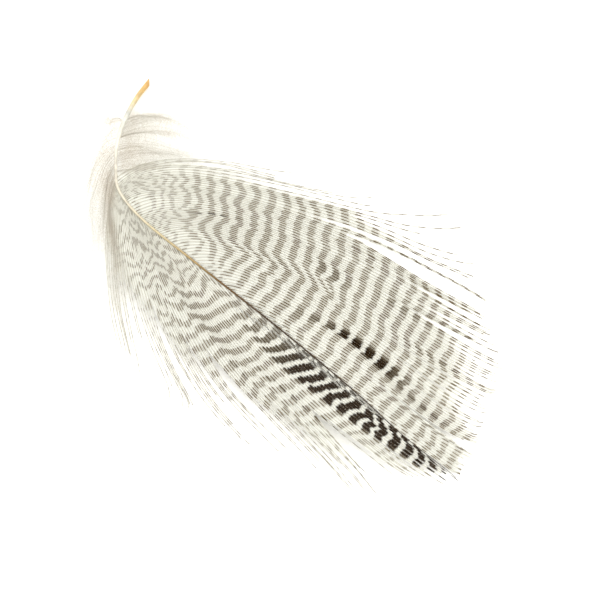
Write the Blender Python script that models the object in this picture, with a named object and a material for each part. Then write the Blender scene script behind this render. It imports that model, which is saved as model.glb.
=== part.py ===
"""A barred flank feather of a small duck, lying flat on a surface with its back upwards.

The feather grew as one piece, so it is one object: the shaft, from the quill's cut end to the tip,
with both vanes and the down at the base fused to it as locks of barbs. Seen from above, X runs along
the shaft towards the tip and Y across it. Sizes are in millimetres and become metres in the meshes.
"""
import math

import bmesh
import bpy
import numpy as np
from mathutils import Vector

MM = 0.001

# The origin is under the middle of the feather, this far from where the straight shaft starts.
MIDDLE_X = 23.0
MIDDLE_Y = 4.0

# Middle of the shaft seen from above, from the quill's cut end through the bend to the tip.
SHAFT_LINE = [
    (-3.5, 12.2), (-3.4, 10.1), (-3.0, 7.9), (-2.3, 5.8), (-1.3, 3.9), (0.0, 2.3),
    (1.9, 0.6), (5.9, -0.2), (13.6, -0.1), (26.5, 0.3), (37.2, 0.3), (44.1, 0.0), (52.0, 0.2),
]
QUILL_LENGTH = 10.7  # of the shaft, from the cut end to the first barred barbs
QUILL_RADIUS = 0.32
TIP_RADIUS = 0.10
SHAFT_TAPER = 0.8  # below 1, the shaft thins sooner towards its tip
HEADING_STEP = 0.5  # along the shaft, between two points that say which way it runs there
SHAFT_CLEARANCE = 0.02  # between the shaft's underside and the vanes' underside
SHAFT_SIDES = 8
SHAFT_STEPS = 34
BEND_CLOSENESS = 1.25  # above 1, the steps are closer together round the bend at the base
CUT_SLANT = 35.0  # degrees between the quill's end face and a square cut

# The vanes rise to the shaft like a low roof and lie flat on the surface along both edges.
CROWN = 3.0
CROWN_X = 20.0
CROWN_REACH = 32.0
UPPER_REACH = 12.0
LOWER_REACH = 9.5

# Thickness of a lock, and how much its middle stands above its edges.
ROOT_THICKNESS = 0.34
TIP_THICKNESS = 0.16
RIDGE = 0.12
RIDGE_SHIFT = 0.1  # share of a lock's length by which its ridge is moved towards the root
ROOT_LIFT = 0.10  # keeps a lock's root inside the shaft
LIFT_FADE = 4  # power by which that lift fades towards the tip
ROOT_OVERLAP = 0.07
LOCK_ROWS = 8
SPLIT_ROW = 5  # locks are joined side by side up to this row and free beyond it
TIP_WIDTH = 0.16  # share of a lock's full width that is left at its tip
NARROWING = 1.5  # above 1, a free tip keeps its width longer

# Barbs that shape each vane, from the base to the tip. Each leaves the shaft at a place along it,
# at an angle from the X axis, and bends to arrive at its own tip at another angle. A reach says
# how far the barb keeps each direction.
# place, leaving angle, reach, tip x, tip y, arriving angle, reach, locks up to the next barb
UPPER_BARBS = [
    (1.0, 75, 5.5, 14.5, 15.8, 40, 8.0, 2),
    (2.1, 85, 7.0, 17.5, 14.3, 26, 7.5, 2),
    (2.6, 86, 8.0, 31.5, 22.0, 48, 11.0, 3),
    (3.2, 95, 6.5, 41.5, 17.6, 6, 9.0, 3),
    (4.2, 79, 8.0, 43.6, 15.5, 21, 12.5, 3),
    (6.6, 64, 13.0, 47.3, 12.7, 22, 14.5, 3),
    (8.4, 67, 11.0, 48.7, 10.0, 35, 12.0, 2),
    (10.3, 62, 10.5, 49.7, 6.9, 42, 12.5, 3),
    (15.0, 47, 8.7, 50.7, 4.8, 36, 11.0, 2),
    (22.1, 17, 6.0, 51.3, 3.3, 22, 8.7, 2),
    (35.2, 13, 3.0, 51.6, 1.6, 9, 4.7, 1),
    (47.4, 9, 1.0, 52.2, 0.5, 10, 1.4, 0),
]
LOWER_BARBS = [
    (1.4, -74, 3.8, 11.6, -12.6, -37, 5.5, 2),
    (2.3, -74, 4.7, 15.3, -13.2, -36, 6.0, 2),
    (3.1, -66, 4.8, 19.3, -13.8, -36, 6.6, 2),
    (4.2, -52, 4.8, 31.3, -12.0, 2, 10.0, 3),
    (4.8, -39, 9.0, 35.4, -9.8, -1, 13.0, 3),
    (5.6, -33, 14.0, 42.8, -8.5, -10, 17.0, 2),
    (6.5, -32, 14.5, 45.0, -7.3, -11, 15.0, 3),
    (7.7, -30, 9.2, 48.7, -2.6, 17, 13.5, 2),
    (9.9, -28, 9.1, 50.9, -1.3, 7, 12.5, 2),
    (13.6, -19, 8.1, 51.6, -0.3, 2, 11.3, 2),
    (22.1, -12, 5.6, 51.9, 0.0, 0, 8.7, 1),
    (35.2, -7, 3.2, 52.1, 0.1, 3, 5.0, 0),
]

# Locks of down round the bend of the shaft: place, leaving angle, reach, tip x, tip y,
# arriving angle, reach, thickness at the middle.
DOWN_LOCKS = [
    (-5.4, 75, 1.6, 0.9, 10.8, 30, 1.4, 0.9),
    (-4.9, 70, 2.2, 2.0, 11.0, -5, 1.8, 1.0),
    (-4.2, 72, 2.6, 4.1, 11.0, -30, 2.4, 1.1),
    (-3.4, 70, 2.8, 5.9, 10.0, -40, 2.6, 1.1),
    (-2.6, 68, 2.6, 6.9, 8.6, -30, 2.4, 1.1),
    (-1.8, 66, 2.6, 5.7, 8.7, 15, 2.2, 1.0),
    (-0.9, 64, 2.2, 5.1, 7.6, 12, 2.0, 0.9),
    (-5.2, 175, 1.4, -5.9, 6.0, 200, 1.4, 0.9),
    (-4.6, 185, 1.6, -4.3, 2.8, -110, 1.6, 1.0),
    (-4.0, 205, 1.8, -2.9, -0.3, -95, 2.0, 1.1),
    (-3.2, 225, 2.2, -1.0, -2.6, -80, 2.4, 1.1),
    (-2.5, 240, 3.0, 0.6, -8.3, -105, 3.2, 1.2),
    (-1.8, 250, 3.4, 3.7, -7.3, -70, 3.4, 1.2),
    (-1.1, 258, 3.6, 6.1, -9.9, -65, 3.6, 1.2),
    (-0.4, 265, 3.8, 7.2, -12.0, -80, 3.8, 1.1),
    (0.3, 272, 4.0, 9.3, -13.2, -68, 4.0, 1.0),
    (0.9, 278, 4.0, 10.4, -13.9, -55, 4.2, 0.9),
]
DOWN_STEPS = 7
DOWN_SIDES = 6
DOWN_ROOT = 0.15  # share of the swell that a lock has already at its root
DOWN_TIP_RADIUS = 0.08
DOWN_FULLNESS = 0.7  # below 1, a lock is near its full thickness over more of its length
DOWN_SETTLING = 2  # power by which a lock comes down from the back of the feather

WELD_DISTANCE = 0.001  # points of a tube that are closer than this become one

KERATIN_COLOUR = (0.80, 0.77, 0.69, 1.0)
KERATIN_ROUGHNESS = 0.6


def smooth_rows(rows, place):
    """Reads a smooth line through evenly spaced rows of numbers, at a place counted in rows."""
    rows = np.asarray(rows, float)
    last = len(rows) - 1
    start = min(max(int(math.floor(place)), 0), last - 1)
    t = place - start
    before = rows[max(start - 1, 0)]
    after = rows[min(start + 2, last)]
    a, b = rows[start], rows[start + 1]
    leave = (b - before) / (2 if start > 0 else 1)
    arrive = (after - a) / (2 if start + 2 <= last else 1)
    return (
        (2 * t**3 - 3 * t**2 + 1) * a
        + (t**3 - 2 * t**2 + t) * leave
        + (3 * t**2 - 2 * t**3) * b
        + (t**3 - t**2) * arrive
    )


def measured_shaft(steps_each=24):
    """Points along the middle of the shaft, and how far along it each is from the vane's start."""
    places = np.linspace(0, len(SHAFT_LINE) - 1, steps_each * (len(SHAFT_LINE) - 1) + 1)
    points = np.array([smooth_rows(SHAFT_LINE, p) for p in places])
    steps = np.hypot(*np.diff(points, axis=0).T)
    along = np.concatenate([[0.0], np.cumsum(steps)]) - QUILL_LENGTH
    return points, along


SHAFT_POINTS, SHAFT_ALONG = measured_shaft()


def shaft_at(along):
    """The middle of the shaft at a distance from the vane's start."""
    return np.array([np.interp(along, SHAFT_ALONG, SHAFT_POINTS[:, axis]) for axis in (0, 1)])


def shaft_radius(along):
    share = (along + QUILL_LENGTH) / (SHAFT_ALONG[-1] + QUILL_LENGTH)
    return QUILL_RADIUS + (TIP_RADIUS - QUILL_RADIUS) * min(max(share, 0.0), 1.0) ** SHAFT_TAPER


def rise(x, y):
    """How high the underside of the vane is above the surface."""
    crown = CROWN * (1 - ((x - CROWN_X) / CROWN_REACH) ** 2)
    reach = UPPER_REACH if y > 0 else LOWER_REACH
    return max(crown, 0.0) * max(1 - (y / reach) ** 2, 0.0)


def barb_point(barb, t, sideways=0.0):
    """A point along one barb, t from 0 at its root to 1 at its tip. sideways moves its root."""
    place, leaving, reach_out, tip_x, tip_y, arriving, reach_in = barb[:7]
    root = shaft_at(place)
    ahead = shaft_at(place + HEADING_STEP) - root
    ahead /= np.linalg.norm(ahead)
    root = root + sideways * np.array([-ahead[1], ahead[0]])
    tip = np.array([tip_x, tip_y])
    leave = np.array([math.cos(math.radians(leaving)), math.sin(math.radians(leaving))])
    arrive = np.array([math.cos(math.radians(arriving)), math.sin(math.radians(arriving))])
    first, second = root + reach_out * leave, tip - reach_in * arrive
    return (1 - t)**3 * root + 3 * (1 - t)**2 * t * first + 3 * (1 - t) * t**2 * second + t**3 * tip


def placed(x, y, z):
    """A point in the object's own frame, in metres."""
    return Vector(((x - MIDDLE_X) * MM, (y - MIDDLE_Y) * MM, z * MM))


def new_object(name, mesh, collection):
    made = bpy.data.objects.new(name, mesh)
    collection.objects.link(made)
    return made


def mesh_of_curve(name, points, radii, sides, collection):
    """A closed tapering tube through the points, as a mesh with its end caps joined to it."""
    curve = bpy.data.curves.new(name, "CURVE")
    curve.dimensions = "3D"
    curve.bevel_depth = MM
    curve.bevel_resolution = sides // 2 - 2
    curve.use_fill_caps = True
    spline = curve.splines.new("POLY")
    spline.points.add(len(points) - 1)
    for knot, point, radius in zip(spline.points, points, radii):
        knot.co = (*point, 1.0)
        knot.radius = radius
    tube = new_object(name, curve, collection)
    bpy.context.view_layer.update()
    mesh = bpy.data.meshes.new_from_object(tube.evaluated_get(bpy.context.evaluated_depsgraph_get()))
    bpy.data.objects.remove(tube)
    cage = bmesh.new()
    cage.from_mesh(mesh)
    bmesh.ops.remove_doubles(cage, verts=cage.verts, dist=WELD_DISTANCE * MM)
    bmesh.ops.recalc_face_normals(cage, faces=cage.faces)
    cage.to_mesh(mesh)
    cage.free()
    return new_object(name, mesh, collection)


def make_shaft(collection):
    """Quill and shaft in one tapering rod, with the quill's end cut at a slant."""
    share = np.linspace(0, 1, SHAFT_STEPS + 1) ** BEND_CLOSENESS
    places = -QUILL_LENGTH + share * (SHAFT_ALONG[-1] + QUILL_LENGTH)
    points, radii = [], []
    for along in places:
        x, y = shaft_at(along)
        radius = shaft_radius(along)
        points.append(placed(x, y, rise(x, y) + radius + SHAFT_CLEARANCE))
        radii.append(radius)
    shaft = mesh_of_curve("shaft", points, radii, SHAFT_SIDES, collection)
    end, ahead = points[0], (points[1] - points[0]).normalized()
    slant = math.radians(CUT_SLANT)
    across = ahead.cross(Vector((0, 0, 1))).normalized()
    cut = (ahead * math.cos(slant) + across * math.sin(slant)).normalized()
    rod = bmesh.new()
    rod.from_mesh(shaft.data)
    whole = rod.verts[:] + rod.edges[:] + rod.faces[:]
    place = end + ahead * QUILL_RADIUS * MM
    sliced = bmesh.ops.bisect_plane(rod, geom=whole, plane_co=place, plane_no=cut, clear_inner=True)
    rim = [edge for edge in sliced["geom_cut"] if isinstance(edge, bmesh.types.BMEdge)]
    bmesh.ops.edgeloop_fill(rod, edges=rim)
    bmesh.ops.recalc_face_normals(rod, faces=rod.faces)
    rod.to_mesh(shaft.data)
    rod.free()
    return shaft


def make_vane(name, barbs, side, collection):
    """One vane: locks side by side, joined near the shaft and parted towards their tips."""
    edges = [0.0]
    for index, barb in enumerate(barbs[:-1]):
        edges += [index + (step + 1) / barb[7] for step in range(barb[7])]
    sheet = bmesh.new()
    thickness = sheet.verts.layers.float.new("thickness")

    def corner(x, y, t, ridge):
        near = (1 - t) ** LIFT_FADE
        vert = sheet.verts.new(placed(x, y, rise(x, y) + ROOT_LIFT * near))
        vert[thickness] = ROOT_THICKNESS + (TIP_THICKNESS - ROOT_THICKNESS) * t + ridge
        return vert

    def row_of(place, t, ridge=0.0):
        x, y = barb_point(smooth_rows([barb[:7] for barb in barbs], place), t, -side * ROOT_OVERLAP)
        return x, y, t, ridge

    steps = [row / LOCK_ROWS for row in range(LOCK_ROWS + 1)]
    shared = [[corner(*row_of(edge, t)) for t in steps[:SPLIT_ROW + 1]] for edge in edges]
    for lock, (low, high) in enumerate(zip(edges[:-1], edges[1:])):
        rows = []
        for row, t in enumerate(steps):
            middle = row_of((low + high) / 2, t, RIDGE * math.sin(math.pi * min(t + RIDGE_SHIFT, 1.0)))
            if row <= SPLIT_ROW:
                rows.append((shared[lock][row], corner(*middle), shared[lock + 1][row]))
                continue
            free = (t - steps[SPLIT_ROW]) / (1 - steps[SPLIT_ROW])
            width = 1 - (1 - TIP_WIDTH) * free ** NARROWING
            sides = []
            for edge in (low, high):
                x, y = row_of(edge, t)[:2]
                x, y = (middle[0] + (x - middle[0]) * width, middle[1] + (y - middle[1]) * width)
                sides.append(corner(x, y, t, 0.0))
            rows.append((sides[0], corner(*middle), sides[1]))
        for near, far in zip(rows[:-1], rows[1:]):
            for left, right in ((0, 1), (1, 2)):
                sheet.faces.new((near[left], near[right], far[right], far[left]))
    extruded = bmesh.ops.extrude_face_region(sheet, geom=sheet.faces[:], use_keep_orig=True)
    for above in extruded["geom"]:
        if isinstance(above, bmesh.types.BMVert):
            above.co.z += above[thickness] * MM
    bmesh.ops.recalc_face_normals(sheet, faces=sheet.faces)
    mesh = bpy.data.meshes.new(name)
    sheet.to_mesh(mesh)
    sheet.free()
    return new_object(name, mesh, collection)


def make_down(collection):
    """Soft round locks of down, thickest in the middle, that spread over the surface."""
    locks = []
    for number, lock in enumerate(DOWN_LOCKS):
        thickest = lock[7]
        points, radii = [], []
        for step in range(DOWN_STEPS + 1):
            t = step / DOWN_STEPS
            x, y = barb_point(lock, t)
            swell = math.sin(math.pi * (DOWN_ROOT + (1 - DOWN_ROOT) * t))
            radius = max(thickest / 2 * swell ** DOWN_FULLNESS, DOWN_TIP_RADIUS)
            height = rise(x, y) * (1 - t) ** DOWN_SETTLING + radius
            points.append(placed(x, y, height))
            radii.append(radius)
        tuft = mesh_of_curve(f"down_{number}", points, radii, DOWN_SIDES, collection)
        locks.append(tuft)
    return locks


def fuse(body, pieces):
    """Joins pieces to the body in one closed solid."""
    for piece in pieces:
        union = body.modifiers.new(piece.name, "BOOLEAN")
        union.operation = "UNION"
        union.solver = "EXACT"
        union.object = piece
        piece.hide_render = True
        piece.display_type = "WIRE"


def keratin():
    material = bpy.data.materials.new("keratin")
    material.use_nodes = True
    shader = material.node_tree.nodes["Principled BSDF"]
    shader.inputs["Base Color"].default_value = KERATIN_COLOUR
    shader.inputs["Roughness"].default_value = KERATIN_ROUGHNESS
    shader.inputs["Metallic"].default_value = 0.0
    return material


for old in list(bpy.data.objects):
    bpy.data.objects.remove(old, do_unlink=True)
feather_collection = bpy.data.collections.new("flank_feather")
tools_collection = bpy.data.collections.new("fused_locks")
for collection in (feather_collection, tools_collection):
    bpy.context.scene.collection.children.link(collection)

feather = make_shaft(feather_collection)
feather.name = "feather"
vanes = [
    make_vane("upper_vane", UPPER_BARBS, 1, tools_collection),
    make_vane("lower_vane", LOWER_BARBS, -1, tools_collection),
]
down = make_down(tools_collection)
fuse(feather, vanes + down)
feather.data.materials.append(keratin())
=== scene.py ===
import math

import bpy
import numpy as np
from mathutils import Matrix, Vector


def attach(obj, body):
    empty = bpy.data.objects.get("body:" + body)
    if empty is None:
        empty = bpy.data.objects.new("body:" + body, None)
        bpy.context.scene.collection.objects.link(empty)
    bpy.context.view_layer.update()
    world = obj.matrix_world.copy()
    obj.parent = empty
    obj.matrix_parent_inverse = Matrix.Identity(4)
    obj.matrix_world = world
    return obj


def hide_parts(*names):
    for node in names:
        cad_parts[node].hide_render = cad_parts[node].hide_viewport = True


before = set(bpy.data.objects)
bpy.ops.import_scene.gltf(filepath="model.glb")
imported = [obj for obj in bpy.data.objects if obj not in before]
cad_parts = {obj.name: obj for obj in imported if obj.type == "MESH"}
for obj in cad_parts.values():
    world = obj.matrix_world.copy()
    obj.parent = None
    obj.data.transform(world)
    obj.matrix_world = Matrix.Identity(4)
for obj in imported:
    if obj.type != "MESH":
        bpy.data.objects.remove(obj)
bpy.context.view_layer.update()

# Quill and shaft. One tapering rod of keratin: a hollow clear tube at the quill, cut off at a
# slant, and a solid beam under the vanes. It grew from its tip down, so the tip is the oldest and
# thinnest part, and everything else of the feather grows out of its sides. Sizes are millimetres.
MM = 0.001
FEATHER_MIDDLE = (23.0, 4.0)  # from where the straight shaft starts to under the feather's middle
SHAFT_LINE = [
    (-3.5, 12.2), (-3.4, 10.1), (-3.0, 7.9), (-2.3, 5.8), (-1.3, 3.9), (0.0, 2.3),
    (1.9, 0.6), (5.9, -0.2), (13.6, -0.1), (26.5, 0.3), (37.2, 0.3), (44.1, 0.0), (52.0, 0.2),
]
SHAFT_POINTS = 289  # worked out along that line
QUILL_LENGTH = 10.7  # of the shaft, from the cut end to the first barred barbs
BACK_HEIGHT = 3.0  # of the arched back above what the feather lies on
BACK_MIDDLE = 20.0  # place on the shaft where the arch is highest
BACK_REACH = 32.0  # from there to where the arch comes down, towards either end
UPPER_SPREAD = 12.0  # from the shaft to where it comes down across the upper vane
LOWER_SPREAD = 9.5  # and across the lower one


def smooth_rows(rows, places):
    """Reads a smooth line through evenly spaced rows of numbers, at places counted in rows."""
    rows = np.asarray(rows, float)
    places = np.asarray(places, float)
    last = len(rows) - 1
    start = np.clip(np.floor(places).astype(int), 0, last - 1)
    t = (places - start)[..., None]
    before, after = rows[np.maximum(start - 1, 0)], rows[np.minimum(start + 2, last)]
    a, b = rows[start], rows[start + 1]
    leave = (b - before) / np.where(start > 0, 2.0, 1.0)[..., None]
    arrive = (after - a) / np.where(start + 2 <= last, 2.0, 1.0)[..., None]
    return (
        (2 * t**3 - 3 * t**2 + 1) * a
        + (t**3 - 2 * t**2 + t) * leave
        + (3 * t**2 - 2 * t**3) * b
        + (t**3 - t**2) * arrive
    )


shaft_points = smooth_rows(SHAFT_LINE, np.linspace(0, len(SHAFT_LINE) - 1, SHAFT_POINTS))
shaft_steps = np.hypot(*np.diff(shaft_points, axis=0).T)
shaft_along = np.concatenate([[0.0], np.cumsum(shaft_steps)]) - QUILL_LENGTH


def shaft_at(along):
    """Middle of the shaft, seen from above, at distances from where the barred barbs start."""
    return np.stack([np.interp(along, shaft_along, shaft_points[:, axis]) for axis in (0, 1)], -1)


def back(x, y):
    """How high the arched back of the feather lifts its underside above the surface."""
    crown = BACK_HEIGHT * (1 - ((x - BACK_MIDDLE) / BACK_REACH) ** 2)
    spread = np.where(y > 0, UPPER_SPREAD, LOWER_SPREAD)
    return np.maximum(crown, 0.0) * np.maximum(1 - (y / spread) ** 2, 0.0)


def placed(x, y, z):
    """Points of the feather in metres, from millimetres along, across and above the surface."""
    return np.stack([x - FEATHER_MIDDLE[0], y - FEATHER_MIDDLE[1], z + 0 * x], -1) * MM


def piece_of(name, points, faces, readings):
    """A mesh object from arrays of points and faces, with one number a point for each reading."""
    mesh = bpy.data.meshes.new(name)
    mesh.from_pydata(points.reshape(-1, 3).tolist(), [], faces.tolist())
    for reading, values in readings.items():
        layer = mesh.attributes.new(reading, "FLOAT", "POINT")
        layer.data.foreach_set("value", np.asarray(values, np.float32).ravel())
    mesh.update()
    piece = bpy.data.objects.new(name, mesh)
    bpy.context.scene.collection.objects.link(piece)
    return piece


def part_of_feather(piece, material):
    """Gives a piece its material and its place on the feather."""
    piece.data.materials.append(material)
    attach(piece, "root")
    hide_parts("feather")


def linear(hex_colour):
    """A hex sRGB colour as linear numbers."""
    parts = [int(hex_colour[i:i + 2], 16) / 255 for i in (1, 3, 5)]
    return [p / 12.92 if p <= 0.04045 else ((p + 0.055) / 1.055) ** 2.4 for p in parts] + [1.0]


def node(tree, kind, settings, inputs):
    """Adds one node with its settings, and sets or links its inputs."""
    made = tree.nodes.new(kind)
    for name, value in settings.items():
        setattr(made, name, value)
    for socket, value in inputs.items():
        if isinstance(value, bpy.types.NodeSocket):
            tree.links.new(value, made.inputs[socket])
        else:
            made.inputs[socket].default_value = value
    return made


def new_material(name):
    """An empty material and its node tree."""
    material = bpy.data.materials.new(name)
    material.use_nodes = True
    material.node_tree.nodes.clear()
    return material, material.node_tree


SHAFT_RINGS = 220
SHAFT_SIDES = 14
RING_CLOSENESS = 1.15  # above 1, the rings are closer together at the quill
SHAFT_LIFT = 0.05  # of its belly above the feather's underside
# distance from where the barred barbs start, half the shaft's width there
HALF_WIDTHS = [
    (-10.7, 0.29), (-6.0, 0.27), (-1.0, 0.18), (4.0, 0.15), (10.0, 0.135), (18.0, 0.105),
    (30.0, 0.08), (42.0, 0.055), (53.0, 0.025),
]
SHAFT_DEPTH = 1.1  # times its width
CUT_SLANT = 50.0  # degrees between the quill's end and a square cut
SLANT_RINGS = 3.0  # over which the slant dies away
QUILL_WALL = 0.05
BORE_RINGS = 24  # rings that the open bore runs in before the pith closes it
BORE_FIT = 0.999  # share of the room inside the wall that the bore takes

shaft_share = np.linspace(0, 1, SHAFT_RINGS) ** RING_CLOSENESS
ring_along = -QUILL_LENGTH + shaft_share * (shaft_along[-1] + QUILL_LENGTH)
half_width = np.interp(ring_along, *np.array(HALF_WIDTHS).T)
ring_middle = shaft_at(ring_along)
ahead = np.gradient(ring_middle, axis=0)
ahead /= np.linalg.norm(ahead, axis=1)[:, None]
across = np.stack([-ahead[:, 1], ahead[:, 0]], -1)
turn = np.linspace(0, 2 * math.pi, SHAFT_SIDES, endpoint=False)
shaft_height = back(ring_middle[:, 0], ring_middle[:, 1]) + half_width * SHAFT_DEPTH + SHAFT_LIFT


def shaft_tube(rings, radius):
    """Points round the shaft's line at some of its rings, slanted back at the quill's cut end."""
    sideways = radius[:, None] * np.cos(turn)
    dying = np.exp(-np.arange(len(rings)) / SLANT_RINGS)[:, None]
    slant = -np.tan(math.radians(CUT_SLANT)) * sideways * dying
    x = ring_middle[rings, :1] + across[rings, :1] * sideways - ahead[rings, :1] * slant
    y = ring_middle[rings, 1:] + across[rings, 1:] * sideways - ahead[rings, 1:] * slant
    z = shaft_height[rings, None] + radius[:, None] * SHAFT_DEPTH * np.sin(turn)
    return placed(x, y, z)


def tube_faces(rings, sides, first, outwards):
    """Faces between the rings of a tube whose points start at a number in the mesh."""
    ring, side = np.meshgrid(np.arange(rings - 1), np.arange(sides), indexing="ij")
    near, far = first + ring * sides, first + (ring + 1) * sides
    after = (side + 1) % sides
    corners = [near + side, near + after, far + after, far + side]
    return np.stack(corners if outwards else corners[::-1], -1).reshape(-1, 4)


outer = shaft_tube(np.arange(SHAFT_RINGS), half_width)
bore = shaft_tube(np.arange(BORE_RINGS), (half_width[:BORE_RINGS] - QUILL_WALL) * BORE_FIT)
bore[-1] = bore[-1].mean(0)
first_bore = SHAFT_RINGS * SHAFT_SIDES
rim = np.arange(SHAFT_SIDES)
rim_after = (rim + 1) % SHAFT_SIDES
shaft_faces = np.concatenate([
    tube_faces(SHAFT_RINGS, SHAFT_SIDES, 0, True),
    tube_faces(BORE_RINGS, SHAFT_SIDES, first_bore, False),
    np.stack([rim, first_bore + rim, first_bore + rim_after, rim_after], -1),
])
shaft_points_all = np.concatenate([outer.reshape(-1, 3), bore.reshape(-1, 3)])
along_reading = np.concatenate([
    np.repeat(ring_along, SHAFT_SIDES), np.repeat(ring_along[:BORE_RINGS], SHAFT_SIDES),
])
shaft_piece = piece_of("quill_and_shaft", shaft_points_all, shaft_faces, {"along": along_reading})
shaft_piece.data.shade_smooth()

# Horn of the quill and shaft: smooth keratin with a narrow shine. It is clear gold at the cut end,
# grey-white where it is hollow, cream at the base of the vanes, then tan to dark brown along the
# back, and light glows through its thin wall.
STREAK = 0.7  # millimetres along which the horn is lighter or darker
# distance from where the barred barbs start, colour there
HORN_TINTS = [
    (-10.7, "#efc27a"), (-9.6, "#f3cf86"), (-8.0, "#f3e0b0"), (-6.4, "#ecebe0"), (-2.0, "#efeada"),
    (3.0, "#dfd6c2"), (9.0, "#c8b994"), (14.0, "#a98f60"), (18.0, "#6a4d26"), (24.0, "#3c2912"),
    (52.7, "#2e1f0e"),
]
horn, tree = new_material("clear_horn_of_quill_and_shaft")
along_shaft = node(tree, "ShaderNodeAttribute", {"attribute_name": "along"}, {})
whole_shaft = node(tree, "ShaderNodeMapRange", {}, {
    "Value": along_shaft.outputs["Fac"], "From Min": HORN_TINTS[0][0], "From Max": HORN_TINTS[-1][0],
})
tints = node(tree, "ShaderNodeValToRGB", {}, {"Fac": whole_shaft.outputs["Result"]})
stops = tints.color_ramp.elements
while len(stops) < len(HORN_TINTS):
    stops.new(0.5)
for stop, (where, tint) in zip(stops, HORN_TINTS):
    stop.position = (where - HORN_TINTS[0][0]) / (HORN_TINTS[-1][0] - HORN_TINTS[0][0])
    stop.color = linear(tint)
place = node(tree, "ShaderNodeTexCoord", {}, {})
streak = node(tree, "ShaderNodeTexNoise", {}, {
    "Vector": place.outputs["Object"], "Scale": 1000 / STREAK, "Detail": 3.0,
})
streak_range = node(tree, "ShaderNodeMapRange", {}, {
    "Value": streak.outputs["Fac"], "From Min": 0.35, "From Max": 0.7, "To Min": 1.0, "To Max": 0.74,
})
streaked = node(tree, "ShaderNodeHueSaturation", {}, {
    "Color": tints.outputs["Color"], "Value": streak_range.outputs["Result"],
})
gloss = node(tree, "ShaderNodeBsdfPrincipled", {}, {
    "Base Color": streaked.outputs["Color"], "Roughness": 0.35, "IOR": 1.54, "Specular IOR Level": 0.25,
})
through = node(tree, "ShaderNodeBsdfTranslucent", {}, {"Color": streaked.outputs["Color"]})
glow = node(tree, "ShaderNodeMapRange", {}, {
    "Value": along_shaft.outputs["Fac"], "From Min": -9.0, "From Max": 8.0, "To Min": 0.35, "To Max": 0.0,
})
both = node(tree, "ShaderNodeMixShader", {}, {
    0: glow.outputs["Result"], 1: gloss.outputs["BSDF"], 2: through.outputs["BSDF"],
})
node(tree, "ShaderNodeOutputMaterial", {}, {"Surface": both.outputs["Shader"]})
part_of_feather(shaft_piece, horn)

# Upper vane. A row of barbs, flat tapering rods of keratin that leave the shaft steeply at the
# base and sweep round to lie along it. Each grows two rows of barbules, which hook to the next
# barb's and make the web. The web ends short of the tips, which are free.

# place on the shaft, leaving angle, reach, tip x, tip y, arriving angle, reach, how many barbs
# stand before it, share of its length that is webbed
UPPER_BARBS = [
    (1.0, 75, 5.5, 14.5, 15.8, 40, 8.0, 0, 0.25),
    (2.1, 85, 7.0, 17.5, 14.3, 26, 7.5, 4, 0.35),
    (2.6, 86, 8.0, 31.5, 22.0, 48, 11.0, 9, 0.62),
    (3.2, 95, 6.5, 41.5, 17.6, 6, 9.0, 18, 0.72),
    (4.2, 79, 8.0, 43.6, 15.5, 21, 12.5, 33, 0.80),
    (6.6, 64, 13.0, 47.3, 12.7, 22, 14.5, 47, 0.80),
    (8.4, 67, 11.5, 48.7, 10.0, 33, 11.5, 61, 0.80),
    (10.3, 62, 11.5, 49.7, 6.9, 34, 11.0, 73, 0.82),
    (15.0, 48, 10.0, 50.7, 4.8, 25, 10.0, 86, 0.86),
    (22.1, 27, 7.0, 51.3, 3.3, 15, 8.0, 96, 0.90),
    (35.2, 13, 3.0, 51.6, 1.6, 9, 4.7, 105, 0.92),
    (47.4, 9, 1.0, 52.2, 0.5, 10, 1.4, 111, 0.92),
]
# The real barbs stand about 0.21 mm apart, and closer at the shaft: too fine to show one by one, so
# fewer are made.
UPPER_BARBS_MADE = 74
BARB_STEPS = 72
LOOKED_AT = np.arange(8, 60, 6)  # steps at which a barb's growth is set against the one before it
TABLE_STEPS = 120  # at which the table is read to lay the barbs out
ROOT_STEPS = 14  # in which a barb keeps to one line of the table
WIDEST = 0.26  # millimetres that barbs lie apart before they count as loose
EVENNESS = 0.62  # 0 keeps the real barbs' crowding, 1 lays the drawn ones equally far apart
FULL_LENGTH = 1.02  # of the longest barbs, as a share of the table's
BUNDLE = (3, 9)  # fewest barbs that draw together at their free ends, and one more than the most
BUNDLE_PULL = 0.3  # most of the way to their bundle's middle that they go
BUNDLE_START = 0.15  # share of their length before the web's end where they start to
STRAY_START = 0.2  # and where each starts to stray from its place
STRAY = 0.5  # farthest to either side that it strays, as a share of the gap to the next
WAVER = 0.5  # by how much of that gap each barb's line wavers
COUNTED = np.linspace(-10, 70, 1601)  # depths, in millimetres of growth, at which bars are counted
BELLY = 0.25  # of a barb's width, from its middle down to its flat side
RIDGE = 0.5  # and up to its ridge


def ease(low, high, value):
    """0 below low and 1 above high, with a smooth way between."""
    t = np.clip((value - low) / (high - low), 0, 1)
    return t * t * (3 - 2 * t)


def bump(value, middle, half):
    """1 at the middle, falling to nothing a little beyond half a width on either side."""
    return np.exp(-((value - middle) / half) ** 4)


def direction(degrees):
    """Which way an angle points, as a step of one millimetre."""
    return np.stack([np.cos(np.radians(degrees)), np.sin(np.radians(degrees))], -1)


def barb_paths(shapes, places, t):
    """Points along bent barbs, for places counted in rows of the table and t from root to tip."""
    columns = [row[:7] for row in shapes]
    root_at, leaving, reach_out, tip_x, tip_y, arriving, reach_in = np.moveaxis(
        smooth_rows(columns, places), -1, 0
    )
    root = shaft_at(root_at)
    tip = np.stack([tip_x, tip_y], -1)
    first = root + reach_out[..., None] * direction(leaving)
    second = tip - reach_in[..., None] * direction(arriving)
    t = t[..., None]
    return (1 - t)**3 * root + 3 * (1 - t)**2 * t * first + 3 * (1 - t) * t**2 * second + t**3 * tip


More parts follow.
